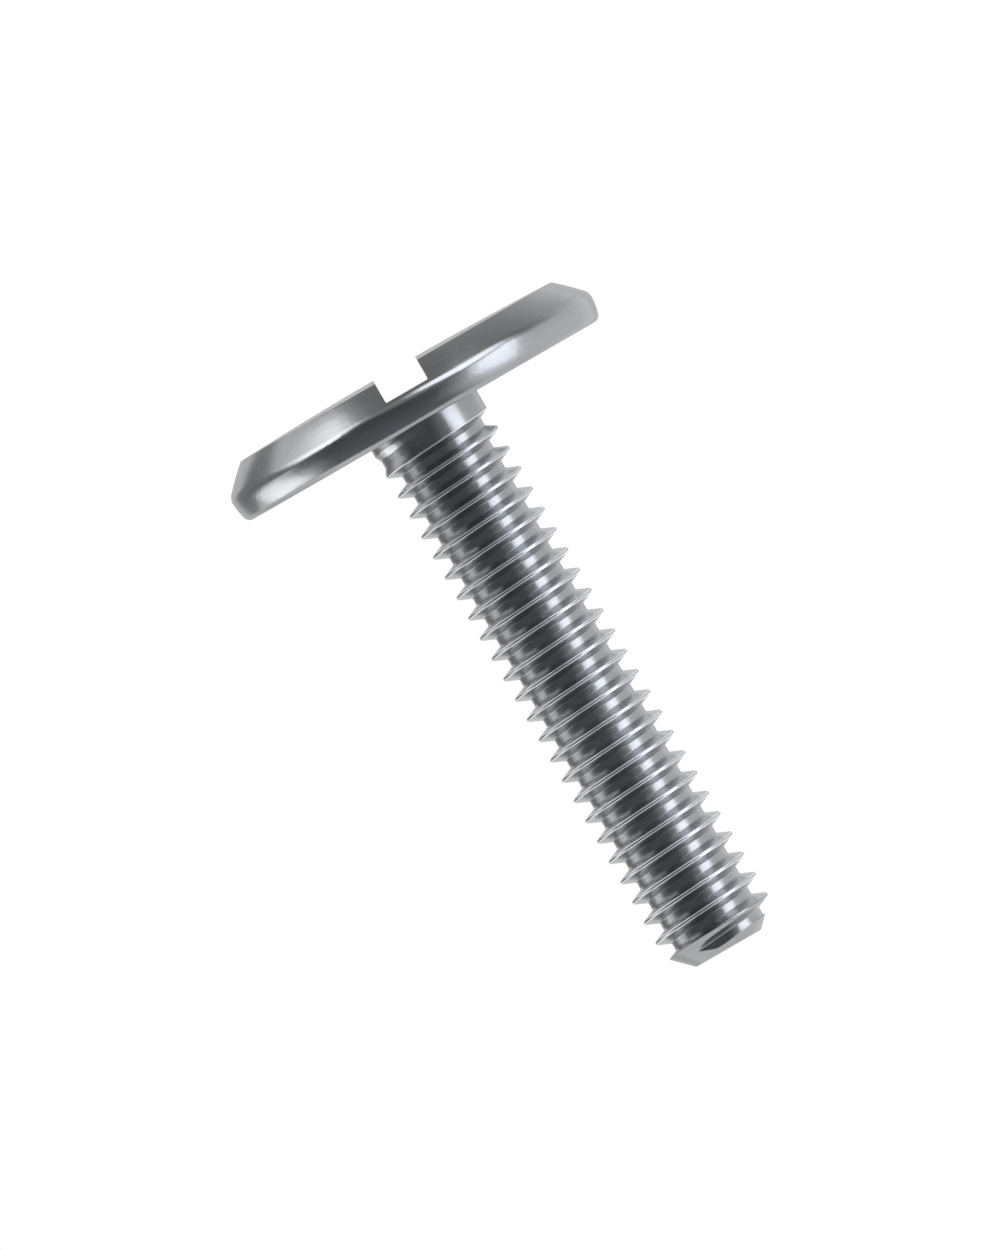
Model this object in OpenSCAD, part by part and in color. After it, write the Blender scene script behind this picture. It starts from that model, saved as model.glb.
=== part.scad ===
// Slotted truss head bolt: a wide, low head with a shallow crown and a bevelled shoulder on a threaded shank
// Lengths are in millimetres, the bearing face under the head lies on z = 0 and the shank runs up to +Z

/* [Head] */
// Diameter of the rim, where the crown meets the bevel
rim_d = 12.13; // [9:0.01:18]
// Height of the head from the rim to the bearing face
head_h = 1.914; // [1.7:0.002:3.6]
// Rise of the shallow crown above the rim
crown_h = 0.124; // [0.04:0.002:0.4]
// Height of the bevel from the rim to the ridge
bevel_h = 0.953; // [0.6:0.001:1.2]
// Angle of the bevel, measured from the axis
bevel_angle = 45.9; // [35:0.1:55]
// Angle of the side below the ridge, measured from the axis
side_draft = 8.9; // [0:0.1:15]
// Radius that softens the ridge
ridge_r = 0.345; // [0.1:0.005:0.45]
// Radius of the edge round the bearing face
foot_r = 0.27; // [0.08:0.005:0.35]

/* [Driver slot] */
// Width of the slot
slot_w = 1.635; // [0.8:0.005:2.6]
// Depth of the slot below the top of the crown
slot_depth = 0.88; // [0.5:0.01:1.3]
// Radius in the corners of the slot floor
slot_corner_r = 0.06; // [0.02:0.005:0.2]

/* [Shank] */
// Diameter of the plain neck, which is also the nominal size of the thread
thread_d = 4.122; // [3.4:0.001:6]
// Length from the bearing face to the end
length = 20.64; // [9:0.01:30]
// Height of the plain neck under the head
neck_h = 0.225; // [0.15:0.005:1.5]
// Length of the 45 degree lead-in at the end
lead_in = 0.8; // [0.3:0.01:1.05]

/* [Thread] */
// Advance of the thread in one turn
pitch = 0.79375; // [0.6:0.00005:1.2]
// Depth of the groove below the crest
thread_depth = 0.466; // [0.15:0.002:0.6]
// Width of the flat along the crest
crest_flat = 0.08; // [0.03:0.005:0.15]
// Width of the flat along the root
root_flat = 0.29; // [0.08:0.005:0.33]
// Allowance of the crest below the neck, on the radius
allowance = 0.01; // [0.008:0.001:0.04]
// Turns over which the groove fades out below the head
runout_turns = 1; // [0.5:0.25:2]

/* [Hidden] */
rim_r = rim_d / 2;
ridge_z = bevel_h - head_h;
ridge_x = rim_r + bevel_h * tan(bevel_angle);
// Width of the side measured inward per unit of height
side_slope = tan(side_draft);
foot_x = ridge_x + ridge_z * side_slope;
crown_r = (rim_r * rim_r + crown_h * crown_h) / (2 * crown_h);
slot_floor_z = slot_depth - head_h - crown_h;

// Centre of the ridge radius, set in from the bevel and from the side
ridge_cz = ridge_z + ridge_r * (1 / cos(bevel_angle) - 1 / cos(side_draft)) / (tan(bevel_angle) + side_slope);
ridge_cx = ridge_x - (ridge_cz - ridge_z) * side_slope - ridge_r / cos(side_draft);
// Centre of the foot radius, set in from the side and from the bearing face
foot_cz = -foot_r;
foot_cx = foot_x + foot_r * side_slope - foot_r / cos(side_draft);

neck_r = thread_d / 2;
crest_r = neck_r - allowance;
end_r = neck_r - lead_in;
groove_w = pitch - crest_flat;
segments = 32;
edge_steps = 6;
// The groove starts half buried in the neck and runs on past the end, where the lead-in cuts it
groove_z = neck_h + 0.26 * pitch;
steps = segments * ceil((length + pitch - groove_z) / pitch);
runout_steps = segments * runout_turns;
thread_base_z = -head_h / 4;
thread_top_z = groove_z + (steps / segments + 1) * pitch;

// Points of an arc about [cx, cy] from angle a to angle b, both ends included
function arc(cx, cy, r, a, b, n) =
  [for (i = [0 : n]) let (t = a + (b - a) * i / n) [cx + r * cos(t), cy + r * sin(t)]];

// Outline of the head, radius along x and height along y
module head_outline() {
  below_z = -head_h - 2 * crown_h;
  intersection() {
    polygon(concat(
      [[0, below_z], [rim_r - 2 * crown_h * tan(bevel_angle), below_z]],
      arc(ridge_cx, ridge_cz, ridge_r, -bevel_angle, side_draft, edge_steps),
      arc(foot_cx, foot_cz, foot_r, side_draft, 90, edge_steps),
      [[0, 0]]
    ));
    translate([0, crown_r - head_h - crown_h]) circle(r = crown_r, $fn = 720);
  }
}

// Section of the slot across its length, open at the crown
module slot_section() {
  half = slot_w / 2;
  mouth_z = -head_h - 2 * crown_h;
  translate([-half, mouth_z]) square([slot_w, slot_floor_z - slot_corner_r - mouth_z]);
  translate([slot_corner_r - half, mouth_z]) square([slot_w - 2 * slot_corner_r, slot_floor_z - mouth_z]);
  for (side = [-1, 1])
    translate([side * (half - slot_corner_r), slot_floor_z - slot_corner_r])
      circle(r = slot_corner_r, $fn = 32);
}

module head() {
  difference() {
    rotate_extrude($fn = 144) head_outline();
    rotate([90, 0, 0]) linear_extrude(height = 3 * ridge_x, center = true) slot_section();
  }
}

// Share of the full depth that the groove has at one step along its turns
function groove_share(i) = min(1, i / runout_steps);

function ring_point(i, r, z) = [r * sin(360 * i / segments), -r * cos(360 * i / segments), z];

// The four corners of the groove at one step: lower crest edge, root, root, upper crest edge
function groove_points(i) =
  let (
    z = groove_z + pitch * i / segments,
    root_r = crest_r - thread_depth * groove_share(i)
  )
  [
    ring_point(i, crest_r, z - groove_w / 2),
    ring_point(i, root_r, z - root_flat / 2),
    ring_point(i, root_r, z + root_flat / 2),
    ring_point(i, crest_r, z + groove_w / 2)
  ];

// Threaded core, one closed skin wound up from a plain ring inside the head to a plain ring past the end
module thread() {
  n = segments;
  last = steps;
  points = concat(
    [for (j = [0 : n - 1]) ring_point(j, crest_r, thread_base_z)],
    [for (i = [0 : last]) each groove_points(i)],
    [for (j = [0 : n - 1]) ring_point(j, crest_r, thread_top_z)]
  );
  // Places of the points in the list: base ring, groove corner k of step i, top ring
  base = function (j) j % n;
  groove = function (i, k) n + 4 * i + k;
  top = function (j) n + 4 * (last + 1) + j % n;

  base_cap = [for (j = [0 : n - 1]) base(j)];
  top_cap = [for (j = [n - 1 : -1 : 0]) top(j)];
  groove_walls = [
    for (i = [0 : last - 1])
      for (k = [0 : 2])
        each [
          [groove(i, k), groove(i, k + 1), groove(i + 1, k + 1)],
          [groove(i, k), groove(i + 1, k + 1), groove(i + 1, k)]
        ]
  ];
  crests = [
    for (i = [0 : last - n - 1])
      each [
        [groove(i, 3), groove(i + n, 0), groove(i + n + 1, 0)],
        [groove(i, 3), groove(i + n + 1, 0), groove(i + 1, 3)]
      ]
  ];
  // Below the first turn, closing on the point where the groove fades in
  lower_skin = [
    for (j = [0 : n - 1])
      each [
        [base(j), groove(j, 0), groove(j + 1, 0)],
        if (j < n - 1) [base(j), groove(j + 1, 0), base(j + 1)]
      ]
  ];
  lower_seam = [
    [base(n - 1), groove(n, 0), groove(0, 3)],
    for (k = [3 : -1 : 1]) [base(n - 1), groove(0, k), groove(0, k - 1)],
    [base(n - 1), groove(0, 0), base(0)]
  ];
  // Above the last turn, with the end of the groove closed by a wall
  first = last - n;
  upper_skin = [
    for (i = [first : last - 1])
      each [
        [groove(i + 1, 3), top(i), top(i + 1)],
        if (i > first) [groove(i, 3), top(i), groove(i + 1, 3)]
      ]
  ];
  upper_seam = [
    [groove(first + 1, 3), groove(first, 3), groove(last, 0)],
    [groove(first + 1, 3), groove(last, 0), groove(last, 3)],
    [groove(first + 1, 3), groove(last, 3), top(first)],
    [groove(last, 0), groove(last, 1), groove(last, 2)],
    [groove(last, 0), groove(last, 2), groove(last, 3)]
  ];
  polyhedron(
    points = points,
    faces = concat([base_cap, top_cap], groove_walls, crests, lower_skin, lower_seam, upper_skin, upper_seam)
  );
}

// Space the shank may fill, with the lead-in cone and the end face
module shank_limit() {
  wide_r = neck_r + pitch;
  rotate_extrude($fn = 96)
    polygon([
      [0, 2 * thread_base_z],
      [wide_r, 2 * thread_base_z],
      [wide_r, length - (wide_r - end_r)],
      [end_r, length],
      [0, length]
    ]);
}

module bolt() {
  color([0.62, 0.63, 0.65]) {
    union() {
      head();
      translate([0, 0, thread_base_z]) cylinder(r = neck_r, h = neck_h - thread_base_z, $fn = 96);
      intersection() {
        thread();
        shank_limit();
      }
    }
  }
}

bolt();
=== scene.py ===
import math

import bpy
import numpy as np
from mathutils import Matrix, Vector


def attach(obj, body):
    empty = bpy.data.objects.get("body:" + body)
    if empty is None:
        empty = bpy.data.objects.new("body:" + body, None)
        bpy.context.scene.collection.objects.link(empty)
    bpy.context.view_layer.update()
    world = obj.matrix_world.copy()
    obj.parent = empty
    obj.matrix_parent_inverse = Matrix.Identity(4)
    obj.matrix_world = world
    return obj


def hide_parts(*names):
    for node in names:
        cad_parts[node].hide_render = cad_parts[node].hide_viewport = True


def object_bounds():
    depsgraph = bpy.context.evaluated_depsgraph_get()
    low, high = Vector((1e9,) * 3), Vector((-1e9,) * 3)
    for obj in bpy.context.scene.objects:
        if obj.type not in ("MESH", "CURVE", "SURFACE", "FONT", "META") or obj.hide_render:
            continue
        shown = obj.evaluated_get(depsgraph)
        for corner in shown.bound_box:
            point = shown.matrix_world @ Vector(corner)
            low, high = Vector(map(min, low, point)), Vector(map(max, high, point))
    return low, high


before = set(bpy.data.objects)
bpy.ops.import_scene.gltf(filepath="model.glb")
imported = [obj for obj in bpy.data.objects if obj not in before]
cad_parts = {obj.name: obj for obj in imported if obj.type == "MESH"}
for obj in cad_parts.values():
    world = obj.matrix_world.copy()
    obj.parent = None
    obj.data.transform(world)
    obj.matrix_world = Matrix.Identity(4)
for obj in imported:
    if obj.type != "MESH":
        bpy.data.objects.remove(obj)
cad_lo, cad_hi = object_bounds()

# Metres in a millimetre, and what counts as nothing
MM = 0.001
NEAR = 1e-6

# Head, in millimetres like all sizes of the bolt: bearing face on z = 0, shank up, slot along Y
RIM_R = 6.065
HEAD_H = 1.914
CROWN_H = 0.124
BEVEL_H = 0.953
BEVEL = math.radians(45.9)
DRAFT = math.radians(8.9)
RIDGE_R = 0.42
FOOT_R = 0.27
RIM_EDGE_R = 0.035
CROWN_R = (RIM_R ** 2 + CROWN_H ** 2) / (2 * CROWN_H)
# The bevel and the side are bowed a little: lean of their normals at the ends, off the straight line
BEVEL_BELLY = math.radians(3.5)
SIDE_BELLY = math.radians(8)

# Driver slot
SLOT_HALF = 1.635 / 2
SLOT_DEPTH = 0.88
SLOT_CORNER = 0.06
SLOT_EDGE = 0.022
FLOOR_Z = SLOT_DEPTH - HEAD_H - CROWN_H

# Shank, with a lead-in at 45 degrees
SHANK_R = 2.06
NECK_H = 0.225
LENGTH = 20.64
END_R = 1.261
END_EDGE_R = 0.03
LEAD_EASE = 0.02
# Both parts of the lead-in's normal, and the tangent of half its angle
LEAD_NORMAL = math.sqrt(0.5)
HALF_LEAD = math.tan(math.pi / 8)

# Thread: one groove wound round the shank, with eased edges along its crest and root
PITCH = 0.79375
THREAD_DEPTH = 0.472
CREST = 0.092
ROOT = 0.295
CREST_EASE = 0.015
ROOT_EASE = 0.03
GROOVE_W = PITCH - CREST
FLANK = (GROOVE_W - ROOT) / 2
CREST_SOFT = CREST_EASE / FLANK
ROOT_SOFT = ROOT_EASE / FLANK
# The groove starts this many pitches above the neck
GROOVE_START = 0.26
GROOVE_Z = NECK_H + GROOVE_START * PITCH
# Where the groove runs out in the lead-in, counted in turns, and how it deepens before that
END_TURN = 25.21
END_FADE = 0.2
END_SWEEP = 0.14
END_DEEPER = 0.34

# Finish of the steel, on a scale from dull to worn bright, and what each part of the bolt has: dull only
# roughens, polished paints a lighter tone as sheen, and worn paints a near-white glint on rougher edges
DULL, PLAIN, POLISHED_SHEEN, WORN_GLINT = -1.0, 0.0, 1.0, 2.0
RIDGE_SHEEN = 0.3
CREST_FINISH = DULL
EDGE_WORN_GLINT = 1.9
FLANK_SHEEN = POLISHED_SHEEN
ROOT_FINISH = PLAIN
# Depth under the lead-in at which the thread has its full finish with its painted sheen and glints, and
# slack round the crest's edges
WEAR_AND_SHEEN_DEPTH = 0.3
EDGE_SLACK = 1.01

# Points of the skin round the axis: two halves of the head and the gaps that the slot leaves
HALF_COLUMNS = 60
GAP_COLUMNS = 4
COLUMNS = 2 * (HALF_COLUMNS + GAP_COLUMNS)
COLUMN_ANGLES = [2 * math.pi * j / COLUMNS - math.pi / 2 for j in range(COLUMNS)]
# Points across an eased edge of the thread, and where its painted glint line stops on the flank, in half
# widths
EDGE_STEPS = (-1, -1 / 3, 1 / 3, 1)
FLANK_STOP = -1.4
# Turns of points laid out beyond each end of the thread, and the step over which slopes are taken
SPARE_TURNS = 2
SLOPE_STEP = 1e-4
# Level rows at the end, where the lead-in cuts the thread, then the rounded edge and the flat end
TIP_Z = 19.7
TIP_ROWS = 74
END_LEANS = (60, 75, 90)
END_RINGS = (0.8, 0.3)
# Rings of the head, as radii, as shares of a line or as steps of an arc
CROWN_RINGS = (0.9, 1.05, 1.3, 1.7, 2.2, 2.8, 3.4, 4.0, 4.6, 5.2, 5.6, 5.85, 5.98)
BEVEL_SHARES = (0.08, 0.16, 0.3, 0.45, 0.6, 0.75, 0.86, 0.93, 0.97)
SIDE_SHARES = (0.2, 0.4, 0.6, 0.8)
BEARING_RINGS = (5.6, 4.4, 3.3, 2.5)
RIM_STEPS = 4
ARC_STEPS = 12
# Rings over the ridge with a little painted sheen, a lighter tone that brightens the ridge's highlight
# line, counted from where the ridge begins
RIDGE_SHEEN_RINGS = range(3, 11)
# Steps of the search for the place where the bevel meets the slot floor
HALVINGS = 50
# Points of the slot, down its wall and across its floor
EDGE_LEANS = (30, 60, 90)
CORNER_LEANS = (0, 30, 60, 90)
FLOOR_SHARES = (-0.5, 0.0, 0.5)
# Share of the slot's width within which the points of a ring belong to its floor
SLOT_INSIDE = 0.98


class Skin:
    """Collects points and faces with a normal for every face corner."""

    def __init__(self):
        self.points = []
        self.faces = []
        self.normals = []
        self.wear_and_sheen = []
        self.turning = []

    def point(self, p, wear_and_sheen=PLAIN, turning=0.0):
        self.points.append(tuple(float(c) for c in p))
        self.wear_and_sheen.append(float(wear_and_sheen))
        self.turning.append(float(turning))
        return len(self.points) - 1

    def face(self, corners, normals, wound=False):
        """Adds a face without repeated corners, turned to suit its normals unless wound already."""
        kept = []
        for c, n in zip(corners, normals):
            if all(c != k[0] for k in kept):
                kept.append((c, n))
        if len(kept) < 3:
            return
        if not wound:
            p = [Vector(self.points[c]) for c, _ in kept]
            turn = Vector()
            for i in range(1, len(p) - 1):
                turn += (p[i] - p[0]).cross(p[i + 1] - p[0])
            if turn.dot(sum((Vector(n) for _, n in kept), Vector())) < 0:
                kept.reverse()
        self.faces.append([c for c, _ in kept])
        self.normals += [tuple(n) for _, n in kept]

    def patch(self, corners, wound=False):
        """Adds a face from (point, normal) corners."""
        self.face([c[0] for c in corners], [c[1] for c in corners], wound)

    def build(self, name):
        mesh = bpy.data.meshes.new(name)
        mesh.from_pydata([Vector(p) * MM for p in self.points], [], self.faces)
        mesh.polygons.foreach_set("use_smooth", [True] * len(mesh.polygons))
        mesh.normals_split_custom_set(self.normals)
        for key, values in (("wear_and_sheen", self.wear_and_sheen), ("turning", self.turning)):
            mesh.attributes.new(key, "FLOAT", "POINT").data.foreach_set("value", values)
        mesh.update()
        obj = bpy.data.objects.new(name, mesh)
        bpy.context.collection.objects.link(obj)
        return obj


def around(r, angle, z):
    return (r * math.cos(angle), r * math.sin(angle), z)


def turned(nr, nz, angle):
    return np.array((nr * math.cos(angle), nr * math.sin(angle), nz))


def sweep(start, end, steps):
    return [start + (end - start) * i / steps for i in range(steps + 1)]


def soft_step(x):
    """0 on the crest, 1 on the root, straight flank between, corners eased."""
    y = np.clip(x, 0, 1)
    y = np.where(np.abs(x) < CREST_SOFT, (x + CREST_SOFT) ** 2 / (4 * CREST_SOFT), y)
    return np.where(np.abs(x - 1) < ROOT_SOFT, 1 - (1 - x + ROOT_SOFT) ** 2 / (4 * ROOT_SOFT), y)


def groove_place(turn, z):
    """Place down the flank, 0 on the crest edge and 1 on the root edge, the groove's share of its full
    depth, and the distance along the axis from the middle of the root."""
    along = (z - GROOVE_Z) / PITCH - turn
    nearest = np.round(along)
    off = np.abs(along - nearest) * PITCH
    turns = nearest + turn
    end = np.clip(1 - (END_TURN - END_FADE - turns) / END_SWEEP, 0, 1)
    fade = np.clip((END_TURN - turns) / END_FADE, 0, 1)
    share = np.clip(turns, 0, 1) * fade * fade * (3 - 2 * fade) * (1 + END_DEEPER * end)
    return (GROOVE_W / 2 - off) / FLANK, share, off


def shank_radius(turn, z):
    """Radius of the shank at a place round it, in turns from the front, and a height."""
    down, share, _ = groove_place(turn, z)
    r = SHANK_R - THREAD_DEPTH * share * soft_step(down)
    cone = END_R + LENGTH - z
    h = np.maximum(LEAD_EASE - np.abs(r - cone), 0) / LEAD_EASE
    return np.minimum(r, cone) - h * h * LEAD_EASE / 4


def shank_row(skin, turn, heights):
    """Points of the shank at one place round it, at the heights given, each with its normal."""
    z = np.asarray(heights, float)
    d = SLOPE_STEP
    r = shank_radius(turn, z)
    across = (shank_radius(turn + d, z) - shank_radius(turn - d, z)) / (4 * math.pi * d * r)
    up = (shank_radius(turn, z + d) - shank_radius(turn, z - d)) / (2 * d)
    sin, cos = math.sin(2 * math.pi * turn), math.cos(2 * math.pi * turn)
    size = np.sqrt(1 + across ** 2 + up ** 2)
    nx, ny, nz = (sin - across * cos) / size, (-cos - across * sin) / size, -up / size

    down, share, off = groove_place(turn, z)
    edge = EDGE_SLACK * CREST_SOFT
    # Crest edges get the worn level, a near-white painted glint on a rougher edge, flanks the polished
    # level's painted sheen, and the crest's middle only roughness
    level = np.where(down < edge, EDGE_WORN_GLINT, np.where(down < 1, FLANK_SHEEN, ROOT_FINISH))
    level = np.where(down < -edge, CREST_FINISH, level)
    wear_and_sheen_value = share * level * np.clip((LENGTH + END_R - z - r) / WEAR_AND_SHEEN_DEPTH, 0, 1)
    row = []
    for i in range(len(z)):
        point = skin.point((r[i] * sin, -r[i] * cos, z[i]), wear_and_sheen_value[i], off[i])
        row.append((point, (nx[i], ny[i], nz[i])))
    return row


def add_shank(skin):
    """Threaded shank from the bearing face to the end; returns the ring on the bearing face."""
    half = [ROOT / 2 + ROOT_EASE * q for q in EDGE_STEPS]
    half.append((GROOVE_W + ROOT) / 4)
    half += [GROOVE_W / 2 + CREST_EASE * q for q in (FLANK_STOP, *EDGE_STEPS)]
    offsets = [-PITCH / 2] + [-q for q in reversed(half)] + [0] + half
    first, last = -SPARE_TURNS, int((TIP_Z - GROOVE_Z) / PITCH) + SPARE_TURNS

    # Each column follows the groove, and its rows below and above the shank close up on the end points
    columns = []
    for j in range(COLUMNS):
        turn = j / COLUMNS
        z = [GROOVE_Z + PITCH * (n + turn) + q for n in range(first, last + 1) for q in offsets]
        low = sum(1 for h in z if h <= NEAR)
        high = sum(1 for h in z if h >= TIP_Z - NEAR)
        row = shank_row(skin, turn, [0.0] + z[low:len(z) - high] + [TIP_Z])
        columns.append([row[0]] * (low - 1) + row + [row[-1]] * (high - 1))
    for j in range(COLUMNS):
        a, b = columns[j], columns[(j + 1) % COLUMNS]
        shift = len(offsets) if j == COLUMNS - 1 else 0
        for m in range(len(a) - 1):
            k = min(m + shift, len(b) - 1)
            skin.patch([a[m], b[k], b[min(k + 1, len(b) - 1)], a[m + 1]], True)

    # Lead-in: level rows so that the cone cuts the last turns cleanly
    edge_z = LENGTH - END_EDGE_R * HALF_LEAD * LEAD_NORMAL
    heights = sweep(TIP_Z, edge_z, TIP_ROWS)[1:]
    tips = [[columns[j][-1]] + shank_row(skin, j / COLUMNS, heights) for j in range(COLUMNS)]
    for j in range(COLUMNS):
        a, b = tips[j], tips[(j + 1) % COLUMNS]
        for m in range(TIP_ROWS):
            skin.patch([a[m], b[m], b[m + 1], a[m + 1]], True)

    # Rounded edge and flat end
    ring = [(t[-1][0], turned(LEAD_NORMAL, LEAD_NORMAL, a)) for t, a in zip(tips, COLUMN_ANGLES)]
    for lean in END_LEANS:
        t = math.radians(lean)
        r = END_R - END_EDGE_R * HALF_LEAD + END_EDGE_R * math.cos(t)
        z = LENGTH - END_EDGE_R + END_EDGE_R * math.sin(t)
        ring = step_ring(skin, ring, COLUMN_ANGLES, (r, z, math.cos(t), math.sin(t)))
    for r in END_RINGS:
        ring = step_ring(skin, ring, COLUMN_ANGLES, (r, LENGTH, 0, 1))
    tip = skin.point((0, 0, LENGTH))
    for j in range(COLUMNS):
        skin.face([ring[j][0], ring[(j + 1) % COLUMNS][0], tip], [(0, 0, 1)] * 3)
    return [c[0][0] for c in columns]


def join(skin, lower, upper):
    """Band of faces between two full rings."""
    for j in range(COLUMNS):
        k = (j + 1) % COLUMNS
        skin.patch([lower[j], lower[k], upper[k], upper[j]])


def step_ring(skin, ring, angles, outline, wear_and_sheen=PLAIN):
    """Adds a ring at one place of an outline, joined to the ring before it."""
    r, z, nr, nz = outline
    row = [(skin.point(around(r, a, z), wear_and_sheen), turned(nr, nz, a)) for a in angles]
    join(skin, ring, row)
    return row


def belly(start, end, lean, swell, share):
    """Place and normal on a slightly bowed line, whose normal leans by lean at mid length."""
    start, end = np.array(start), np.array(end)
    out = np.array((math.cos(lean), math.sin(lean)))
    rise = np.linalg.norm(end - start) * math.tan(swell) * share * (1 - share)
    r, z = start + (end - start) * share + rise * out
    t = lean + swell * (2 * share - 1)
    return r, z, math.cos(t), math.sin(t)


def crown_z(lean):
    """Height of the crown where its normal leans by this angle."""
    return CROWN_R - HEAD_H - CROWN_H - CROWN_R * math.cos(lean)


def head_profile():
    """Outline of the head as (r, z, nr, nz): the part that the slot crosses, from the crown to the
    slot floor's height on the bevel, then the rest, round to the bearing face."""
    ridge_z = BEVEL_H - HEAD_H
    ridge_x = RIM_R + BEVEL_H * math.tan(BEVEL)
    slope = math.tan(DRAFT)
    rc_z = ridge_z + RIDGE_R * (1 / math.cos(BEVEL) - 1 / math.cos(DRAFT)) / (math.tan(BEVEL) + slope)
    rc_x = ridge_x - (rc_z - ridge_z) * slope - RIDGE_R / math.cos(DRAFT)
    fc_x = ridge_x + ridge_z * slope + FOOT_R * slope - FOOT_R / math.cos(DRAFT)

    def ridge(t):
        return rc_x + RIDGE_R * math.cos(t), rc_z + RIDGE_R * math.sin(t)

    def foot(t):
        return fc_x + FOOT_R * math.cos(t), -FOOT_R + FOOT_R * math.sin(t)

    def bevel(share):
        return belly((RIM_R, -HEAD_H), ridge(-BEVEL), -BEVEL, BEVEL_BELLY, share)

    def arc(place, start, end):
        return [(*place(t), math.cos(t), math.sin(t)) for t in sweep(start, end, ARC_STEPS)]

    inner = []
    for r in CROWN_RINGS:
        lean = math.asin(r / CROWN_R)
        inner.append((r, crown_z(lean), math.sin(lean), -math.cos(lean)))
    lean0, lean1 = math.asin(RIM_R / CROWN_R), math.pi / 2 - BEVEL - BEVEL_BELLY
    n0 = np.array((math.sin(lean0), -math.cos(lean0)))
    n1 = np.array((math.sin(lean1), -math.cos(lean1)))
    centre = np.array((RIM_R, -HEAD_H)) - RIM_EDGE_R * (n0 + n1) / (1 + n0 @ n1)
    for t in sweep(lean0, lean1, RIM_STEPS):
        nr, nz = math.sin(t), -math.cos(t)
        inner.append((centre[0] + RIM_EDGE_R * nr, centre[1] + RIM_EDGE_R * nz, nr, nz))
    # Share of the bevel at which it meets the slot floor
    low, high = 0.0, 1.0
    for _ in range(HALVINGS):
        at_floor = (low + high) / 2
        if bevel(at_floor)[1] < FLOOR_Z:
            low = at_floor
        else:
            high = at_floor
    inner += [bevel(at_floor * share) for share in BEVEL_SHARES]
    r, _, nr, nz = bevel(at_floor)
    inner.append((r, FLOOR_Z, nr, nz))

    side_top, side_foot = DRAFT - SIDE_BELLY, DRAFT + SIDE_BELLY
    outer = arc(ridge, BEVEL_BELLY - BEVEL, side_top)
    outer += [belly(ridge(side_top), foot(side_foot), DRAFT, SIDE_BELLY, share) for share in SIDE_SHARES]
    outer += arc(foot, side_foot, math.pi / 2)
    outer += [(r, 0.0, 0.0, 1.0) for r in BEARING_RINGS]
    return inner, outer


def slot_room(z):
    """Share of the slot's eased edge and corner that fits between a height and the slot floor."""
    return min(1.0, max(0.0, (FLOOR_Z - z) / (SLOT_EDGE + SLOT_CORNER)))


def half_angles(r, z):
    """Angles of one half of the head, from one edge of the slot round to the other."""
    d = math.asin((SLOT_HALF + SLOT_EDGE * slot_room(z)) / r)
    return [-math.pi / 2 + d + (math.pi - 2 * d) * j / HALF_COLUMNS for j in range(HALF_COLUMNS + 1)]


def slot_chain(skin, side, edge):
    """Points from the slot's edge down its wall to the floor at one station, with their normals."""
    index, normal = edge
    p = np.array(skin.points[index])
    share = slot_room(p[2])
    wall, floor = np.array((-side * 1.0, 0, 0)), np.array((0, 0, -1.0))
    if share <= NEAR:
        walls = len(EDGE_LEANS) + len(CORNER_LEANS)
        return [(index, n) for n in [normal] + [wall] * walls + [floor]]
    e, c = SLOT_EDGE * share, SLOT_CORNER * share
    up = np.array((0, normal[1], normal[2]))
    up /= np.linalg.norm(up)
    centre = p - e * up
    chain = [(index, normal)]
    for lean in EDGE_LEANS:
        t = math.radians(lean)
        n = up * math.cos(t) + wall * math.sin(t)
        chain.append((skin.point(centre + e * n), n))
    y = skin.points[chain[-1][0]][1]
    for lean in CORNER_LEANS:
        t = math.radians(lean)
        n = wall * math.cos(t) + floor * math.sin(t)
        x = side * (SLOT_HALF - c + c * math.cos(t))
        chain.append((skin.point((x, y, FLOOR_Z - c + c * math.sin(t))), n))
    chain.append((chain[-1][0], floor))
    return chain


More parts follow.
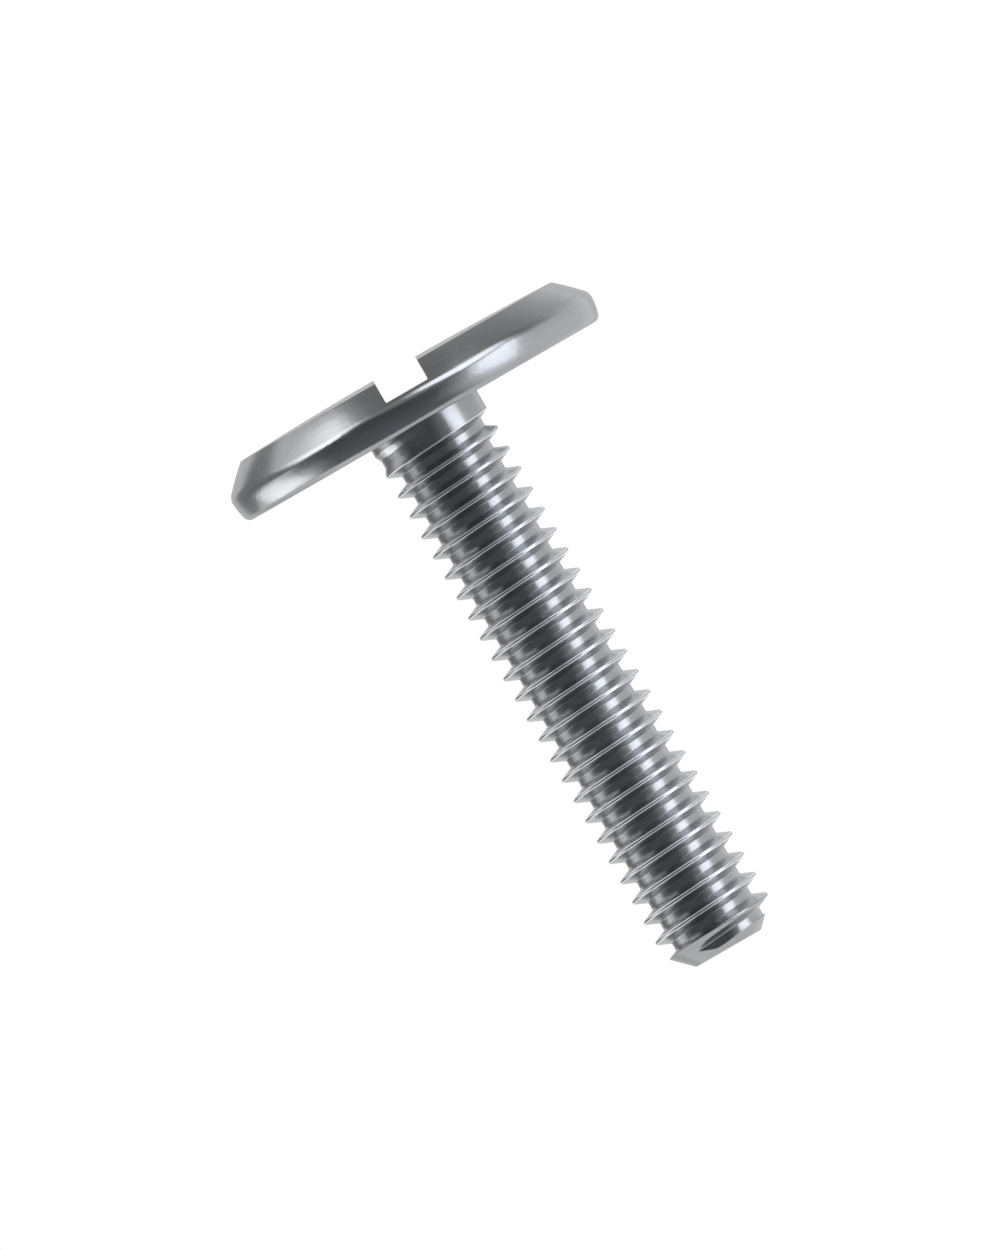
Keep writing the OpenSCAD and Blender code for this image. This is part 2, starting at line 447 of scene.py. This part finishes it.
def add_head(skin, neck_ring):
    """Slotted head from the crown round to the ring where the shank leaves the bearing face."""
    inner, outer = head_profile()
    full_r = inner[-1][0]
    gap = math.asin(SLOT_HALF / full_r)

    # Columns of the full rings, from the front round: slot end, right half, slot end, left half
    r_half = half_angles(full_r, FLOOR_Z)
    front = [-math.pi / 2 - gap + gap * 2 * i / GAP_COLUMNS for i in range(1, GAP_COLUMNS)]
    mid = len(front) // 2
    angles = front[mid:] + r_half
    angles += [a + math.pi for a in front + r_half]
    angles += [a + 2 * math.pi for a in front[:mid]]
    right_from = len(front) - mid
    left_from = right_from + len(r_half) + len(front)

    rings = {1: [], -1: []}
    for r, z, nr, nz in inner[:-1]:
        for side, spin in ((1, 0.0), (-1, math.pi)):
            spots = [a + spin for a in half_angles(r, z)]
            rings[side].append([(skin.point(around(r, a, z)), turned(nr, nz, a)) for a in spots])
    r, z, nr, nz = inner[-1]
    full = [(skin.point(around(r, a, z)), turned(nr, nz, a)) for a in angles]
    rings[1].append(full[right_from:right_from + HALF_COLUMNS + 1])
    rings[-1].append(full[left_from:left_from + HALF_COLUMNS + 1])

    chains = {}
    for side in (1, -1):
        pole_r = SLOT_HALF + SLOT_EDGE
        lean = math.asin(pole_r / CROWN_R)
        pole_n = np.array((side * math.sin(lean), 0, -math.cos(lean)))
        pole = (skin.point((side * pole_r, 0, crown_z(lean))), pole_n)
        rows = rings[side]
        for j in range(HALF_COLUMNS):
            skin.patch([pole, rows[0][j], rows[0][j + 1]])
        for a, b in zip(rows, rows[1:]):
            for j in range(HALF_COLUMNS):
                skin.patch([a[j], b[j], b[j + 1], a[j + 1]])

        # Stations along the slot's edge, from the ring at one end over the crown to the other
        near, far = (0, HALF_COLUMNS) if side == 1 else (HALF_COLUMNS, 0)
        stations = [row[near] for row in reversed(rows)] + [pole] + [row[far] for row in rows]
        chains[side] = [slot_chain(skin, side, s) for s in stations]
        for a, b in zip(chains[side], chains[side][1:]):
            for k in range(len(a) - 1):
                skin.patch([a[k], b[k], b[k + 1], a[k + 1]])

    # Slot floor between the two chains, out to the ring where it breaks through the bevel
    last = len(chains[1]) - 1
    lines = []
    for i in range(last + 1):
        right, left = chains[1][i][-1][0], chains[-1][i][-1][0]
        if i in (0, last):
            # The slot's front end lies at three quarters of a turn, its back end at one quarter
            centre = (1.5 if i == 0 else 0.5) * math.pi
            away = [abs(a % (2 * math.pi) - centre) for a in angles]
            inside = [full[j][0] for j in range(COLUMNS) if away[j] < gap * SLOT_INSIDE]
            inside.sort(key=lambda index: skin.points[index][0])
        else:
            x, y, _ = skin.points[right]
            inside = [skin.point((x * s, y, FLOOR_Z)) for s in FLOOR_SHARES]
        lines.append([left] + inside + [right])
    down = np.array((0, 0, -1.0))
    for a, b in zip(lines, lines[1:]):
        for k in range(len(a) - 1):
            skin.face([a[k], b[k], b[k + 1], a[k + 1]], [down] * 4)

    ring = full
    for i, outline in enumerate(outer):
        # Rings over the ridge carry a painted sheen that brightens its highlight line
        ring = step_ring(skin, ring, angles, outline, RIDGE_SHEEN if i in RIDGE_SHEEN_RINGS else PLAIN)
    up = np.array((0, 0, 1.0))
    join(skin, [(i, up) for i, _ in ring], [(i, up) for i in neck_ring])


# Tones of the steel, from the darker to the lighter patches, and the lighter tones painted as sheen on the
# flanks and ridge and as glints on the crest's worn edges
TONE_DARK = (0.355, 0.361, 0.375, 1)
TONE_LIGHT = (0.4, 0.407, 0.42, 1)
TONE_PAINTED_SHEEN = (0.6, 0.61, 0.63, 1)
TONE_PAINTED_GLINT = (0.95, 0.96, 0.98, 1)
# Noise patterns: cells to the metre and detail, and for the scratches their stretch and turn as well
CLOUD = (420.0, 3.0)
GRAIN = (14000.0, 2.0)
MOTTLE = (4500.0, 3.0)
SCRATCH_A = (1500.0, 2.0, (1.0, 1.0, 14.0), (0.3, 0.9, 0.4))
SCRATCH_B = (2100.0, 2.0, (16.0, 1.0, 1.0), (0.5, -0.4, 0.7))
LINES = (700.0, 2.0)
# Metres that the turned lines move through their noise for each millimetre across the thread
LINE_STEP = 0.025
# The part of a noise's range that is used, and the top of it that makes a scratch
NOISE_LOW, NOISE_HIGH = 0.3, 0.7
SCRATCH_DULL = (0.58, 0.72)
SCRATCH_A_CUT = (0.6, 0.75)
SCRATCH_B_CUT = (0.62, 0.75)
# Roughness: plain steel, then what scratches, grain, worn edges and dull parts add
ROUGH_LOW, ROUGH_HIGH = 0.19, 0.24
ROUGH_SCRATCH = 0.05
ROUGH_GRAIN = 0.02
ROUGH_WORN = 0.2
ROUGH_DULL = 0.2
# Heights of the fine relief, and how strongly it shows
MARK_HEIGHT = -0.35
GRAIN_HEIGHT = 0.5
MOTTLE_HEIGHT = 3.2
LINE_HEIGHT = 0.6
RELIEF_STRENGTH = 0.12
RELIEF_DEPTH = 0.00001
# Sockets of a colour Mix node, which are found by number: share, first colour, second colour, result
MIX_SHARE, MIX_FIRST, MIX_SECOND, MIX_RESULT = 0, 6, 7, 2


def steel():
    """Bright steel: slow changes of tone, grain, faint scratches and turned lines along the thread, with
    painted sheen and glints where the finish is polished or worn.
    """
    mat = bpy.data.materials.new("bright_steel")
    mat.use_nodes = True
    nodes, links = mat.node_tree.nodes, mat.node_tree.links
    shader = nodes["Principled BSDF"]
    shader.inputs["Metallic"].default_value = 1.0
    place = nodes.new("ShaderNodeTexCoord").outputs["Object"]

    def attribute(name):
        node = nodes.new("ShaderNodeAttribute")
        node.attribute_name = name
        return node.outputs["Fac"]

    def noise(scale, detail, stretch=None, turn=None, along=None):
        tex = nodes.new("ShaderNodeTexNoise")
        tex.inputs["Scale"].default_value = scale
        tex.inputs["Detail"].default_value = detail
        source = place
        if stretch:
            m = nodes.new("ShaderNodeMapping")
            m.inputs["Scale"].default_value = stretch
            m.inputs["Rotation"].default_value = turn
            links.new(source, m.inputs["Vector"])
            source = m.outputs["Vector"]
        links.new(source, tex.inputs["Vector"])
        if along:
            tex.noise_dimensions = "4D"
            links.new(along, tex.inputs["W"])
        return tex.outputs["Fac"]

    def remap(value, low, high, to_low, to_high):
        m = nodes.new("ShaderNodeMapRange")
        m.inputs["From Min"].default_value = low
        m.inputs["From Max"].default_value = high
        m.inputs["To Min"].default_value = to_low
        m.inputs["To Max"].default_value = to_high
        links.new(value, m.inputs["Value"])
        return m.outputs["Result"]

    def add(a, b):
        m = nodes.new("ShaderNodeMath")
        m.operation = "ADD"
        links.new(a, m.inputs[0])
        links.new(b, m.inputs[1])
        return m.outputs["Value"]

    def times(a, factor):
        m = nodes.new("ShaderNodeMath")
        m.operation = "MULTIPLY"
        links.new(a, m.inputs[0])
        m.inputs[1].default_value = factor
        return m.outputs["Value"]

    def mix(share, first, second):
        m = nodes.new("ShaderNodeMix")
        m.data_type = "RGBA"
        links.new(share, m.inputs[MIX_SHARE])
        links.new(first, m.inputs[MIX_FIRST])
        m.inputs[MIX_SECOND].default_value = second
        return m.outputs[MIX_RESULT]

    wear_and_sheen = attribute("wear_and_sheen")
    cloud = noise(*CLOUD)
    grain = noise(*GRAIN)
    mottle = noise(*MOTTLE)
    scratch_a = noise(*SCRATCH_A)
    scratch_b = noise(*SCRATCH_B)
    lines = noise(*LINES, along=times(attribute("turning"), LINE_STEP))

    tone = nodes.new("ShaderNodeValToRGB")
    dark, light = tone.color_ramp.elements
    dark.position, dark.color = NOISE_LOW, TONE_DARK
    light.position, light.color = NOISE_HIGH, TONE_LIGHT
    links.new(cloud, tone.inputs["Fac"])
    # Painted sheen and glints: the polished and worn parts get a lighter steel tone that brightens their
    # reflections
    sheen_tone = mix(wear_and_sheen, tone.outputs["Color"], TONE_PAINTED_SHEEN)
    glint_tone = mix(remap(wear_and_sheen, POLISHED_SHEEN, WORN_GLINT, 0.0, 1.0), sheen_tone, TONE_PAINTED_GLINT)
    links.new(glint_tone, shader.inputs["Base Color"])

    rough = remap(cloud, NOISE_LOW, NOISE_HIGH, ROUGH_LOW, ROUGH_HIGH)
    rough = add(rough, remap(scratch_a, *SCRATCH_DULL, 0.0, ROUGH_SCRATCH))
    rough = add(rough, remap(grain, NOISE_LOW, NOISE_HIGH, -ROUGH_GRAIN, ROUGH_GRAIN))
    rough = add(rough, remap(wear_and_sheen, POLISHED_SHEEN, WORN_GLINT, 0.0, ROUGH_WORN))
    rough = add(rough, remap(wear_and_sheen, DULL, PLAIN, ROUGH_DULL, 0.0))
    links.new(rough, shader.inputs["Roughness"])

    marks = add(remap(scratch_a, *SCRATCH_A_CUT, 0.0, 1.0), remap(scratch_b, *SCRATCH_B_CUT, 0.0, 1.0))
    height = add(times(marks, MARK_HEIGHT), times(grain, GRAIN_HEIGHT))
    height = add(height, times(mottle, MOTTLE_HEIGHT))
    height = add(height, times(lines, LINE_HEIGHT))
    bump = nodes.new("ShaderNodeBump")
    bump.inputs["Strength"].default_value = RELIEF_STRENGTH
    bump.inputs["Distance"].default_value = RELIEF_DEPTH
    links.new(height, bump.inputs["Height"])
    links.new(bump.outputs["Normal"], shader.inputs["Normal"])
    return mat


# The camera's directions: the axis of the bolt leans by this angle in the photograph
LEAN = math.radians(30)
VIEW_RIGHT = Vector((-math.cos(LEAN), 0, math.sin(LEAN)))
VIEW_UP = Vector((-math.sin(LEAN), 0, -math.cos(LEAN)))
VIEW_BACK = Vector((0, -1, 0))

# Studio cards and soft boxes: name, distance in metres, colour, and four corners as degrees right,
# degrees up and glow, seen from the bolt with the camera straight ahead
WHITE = (1.0, 1.0, 1.0)
COOL = (0.95, 0.97, 1.03)
BLUISH = (0.95, 0.98, 1.06)
CARDS = (
    ("sky", 0.5, WHITE, [(75, 18, 1.0), (285, 18, 1.0), (285, 90, 0.2), (75, 90, 0.2)]),
    ("gap_grey", 0.48, WHITE, [(-116, 28, 0.34), (46, -14, 0.15), (46, 72, 0.5), (-116, 76, 0.22)]),
    ("front_dark", 0.46, BLUISH, [(-52, -63, 0.17), (20, -63, 0.35), (42, -4, 0.13), (-46, 20, 0.05)]),
    ("left_fade", 0.461, WHITE, [(-84, -38, 0.3), (-49, -38, 0.1), (-45, 20, 0.05), (-76, -10, 0.15)]),
    ("left_fade_low", 0.462, WHITE, [(-82, -63, 1.2), (-50, -63, 0.2), (-49, -38, 0.14), (-84, -37, 0.85)]),
    ("right_grey", 0.47, WHITE, [(66, 36, 0.5), (120, 36, 0.6), (120, 82, 0.1), (66, 82, 0.05)]),
    ("right_fade", 0.46, WHITE, [(20, -63, 0.35), (62, -58, 1.0), (62, -6, 1.0), (40, -8, 0.2)]),
    ("right_soft", 0.45, WHITE, [(18, -14, 0.18), (50, -12, 0.9), (42, 6, 1.0), (22, 14, 0.2)]),
    ("back_dark", 0.46, WHITE, [(-160, -36, 0.3), (-76, -26, 0.22), (-86, -7, 0.22), (-146, 28, 0.3)]),
    ("back_grey", 0.47, WHITE, [(155, -50, 0.68), (205, -50, 0.68), (205, 24, 0.68), (155, 24, 0.68)]),
    ("box_right", 0.44, COOL, [(43, 1, 2.3), (70.5, 6, 2.3), (66, 36, 2.6), (33.5, 17, 2.6)]),
    ("box_right_top", 0.44, COOL, [(33.5, 17, 2.6), (66, 36, 2.6), (55, 46, 1.9), (48, 35, 2.4)]),
    ("box_top", 0.44, COOL, [(26, 27, 2.4), (43, 45, 2.3), (53, 74, 2.0), (-14, 34, 2.3)]),
    ("box_top_end", 0.44, COOL, [(-14, 34, 2.3), (53, 74, 2.0), (20, 76, 2.2), (-46, 56, 2.2)]),
    ("box_left", 0.44, WHITE, [(-119, 24, 0.9), (-76, -9, 2.3), (-57, 3, 2.6), (-69, 36, 2.7)]),
    ("box_left_top", 0.44, WHITE, [(-119, 24, 0.9), (-69, 36, 2.7), (-86, 40, 2.8), (-105, 39, 2.8)]),
    ("box_left_low", 0.44, WHITE, [(-128, -53, 2.5), (-69, -53, 2.6), (-102, -32, 1.9), (-130, -29, 1.7)]),
)
CARD_STEPS = 16


def card_material(name, colour):
    """Plain light whose strength is the card's glow at each point."""
    mat = bpy.data.materials.new(name)
    mat.use_nodes = True
    nodes, links = mat.node_tree.nodes, mat.node_tree.links
    nodes.clear()
    out = nodes.new("ShaderNodeOutputMaterial")
    light = nodes.new("ShaderNodeEmission")
    light.inputs["Color"].default_value = (*colour, 1)
    level = nodes.new("ShaderNodeAttribute")
    level.attribute_name = "glow"
    links.new(level.outputs["Fac"], light.inputs["Strength"])
    links.new(light.outputs["Emission"], out.inputs["Surface"])
    mat.cycles.emission_sampling = "NONE"
    return mat


def card(name, distance, colour, corners):
    """Card or soft box that is seen only in the metal, bent round the bolt at an even distance."""
    points, faces, glow = [], [], []
    for i in range(CARD_STEPS + 1):
        for k in range(CARD_STEPS + 1):
            s, t = i / CARD_STEPS, k / CARD_STEPS
            weights = ((1 - s) * (1 - t), s * (1 - t), s * t, (1 - s) * t)
            az, el, level = (sum(w * c[n] for w, c in zip(weights, corners)) for n in range(3))
            az, el = math.radians(az), math.radians(el)
            flat = math.sin(az) * VIEW_RIGHT + math.cos(az) * VIEW_BACK
            points.append((flat * math.cos(el) + VIEW_UP * math.sin(el)) * distance)
            glow.append(level)
            if i and k:
                n = i * (CARD_STEPS + 1) + k
                faces.append((n - CARD_STEPS - 2, n - CARD_STEPS - 1, n, n - 1))
    mesh = bpy.data.meshes.new(name)
    mesh.from_pydata(points, [], faces)
    mesh.attributes.new("glow", "FLOAT", "POINT").data.foreach_set("value", glow)
    mesh.materials.append(card_material(name, colour))
    obj = bpy.data.objects.new(name, mesh)
    bpy.context.collection.objects.link(obj)
    obj.visible_camera = False


skin = Skin()
neck = add_shank(skin)
add_head(skin, neck)
bolt = skin.build("bolt_body")
bolt.data.materials.append(steel())
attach(bolt, "root")
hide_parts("bolt")

# Plain pale floor under the head
GROUND_TONE = (0.88, 0.88, 0.88, 1)
GROUND_ROUGH = 0.7
GROUND_REACH = 1.5
GROUND_SIGNS = ((-1, -1), (1, -1), (1, 1), (-1, 1))
floor_mat = bpy.data.materials.new("pale_floor")
floor_mat.use_nodes = True
floor_shader = floor_mat.node_tree.nodes["Principled BSDF"]
floor_shader.inputs["Base Color"].default_value = GROUND_TONE
floor_shader.inputs["Roughness"].default_value = GROUND_ROUGH
floor_mesh = bpy.data.meshes.new("floor")
floor_corners = [(x * GROUND_REACH, y * GROUND_REACH, cad_lo.z) for x, y in GROUND_SIGNS]
floor_mesh.from_pydata(floor_corners, [], [(0, 1, 2, 3)])
floor_mesh.materials.append(floor_mat)
floor = bpy.data.objects.new("floor", floor_mesh)
bpy.context.collection.objects.link(floor)
floor.visible_glossy = False

# White surroundings, seen by the camera and in the metal alike
world = bpy.data.worlds.new("studio")
world.use_nodes = True
world.node_tree.nodes["Background"].inputs["Color"].default_value = (1, 1, 1, 1)
world.node_tree.nodes["Background"].inputs["Strength"].default_value = 1.0
bpy.context.scene.world = world

# Dark cards and soft boxes round the bolt shape what the metal shows
for entry in CARDS:
    card(*entry)

# Camera: square to the axis, looking along the slot, with the photograph's height and scale.
# Its place is in millimetres, its distance and its near and far limits in metres
FRAME_PX = 1250
PX_PER_MM = 29.517
CAMERA_X, CAMERA_Z = 1.232, 7.281
CAMERA_BACK = 0.15
CLIP_NEAR, CLIP_FAR = 0.001, 20
cam_data = bpy.data.cameras.new("camera")
cam_data.type = "ORTHO"
cam_data.ortho_scale = FRAME_PX / PX_PER_MM * MM
cam_data.clip_start, cam_data.clip_end = CLIP_NEAR, CLIP_FAR
cam = bpy.data.objects.new("camera", cam_data)
spin = Matrix((VIEW_RIGHT, VIEW_UP, VIEW_BACK)).transposed().to_4x4()
cam.matrix_world = Matrix.Translation(Vector((CAMERA_X * MM, -CAMERA_BACK, CAMERA_Z * MM))) @ spin
bpy.context.collection.objects.link(cam)
bpy.context.scene.camera = cam

bpy.context.scene.view_settings.view_transform = "Standard"
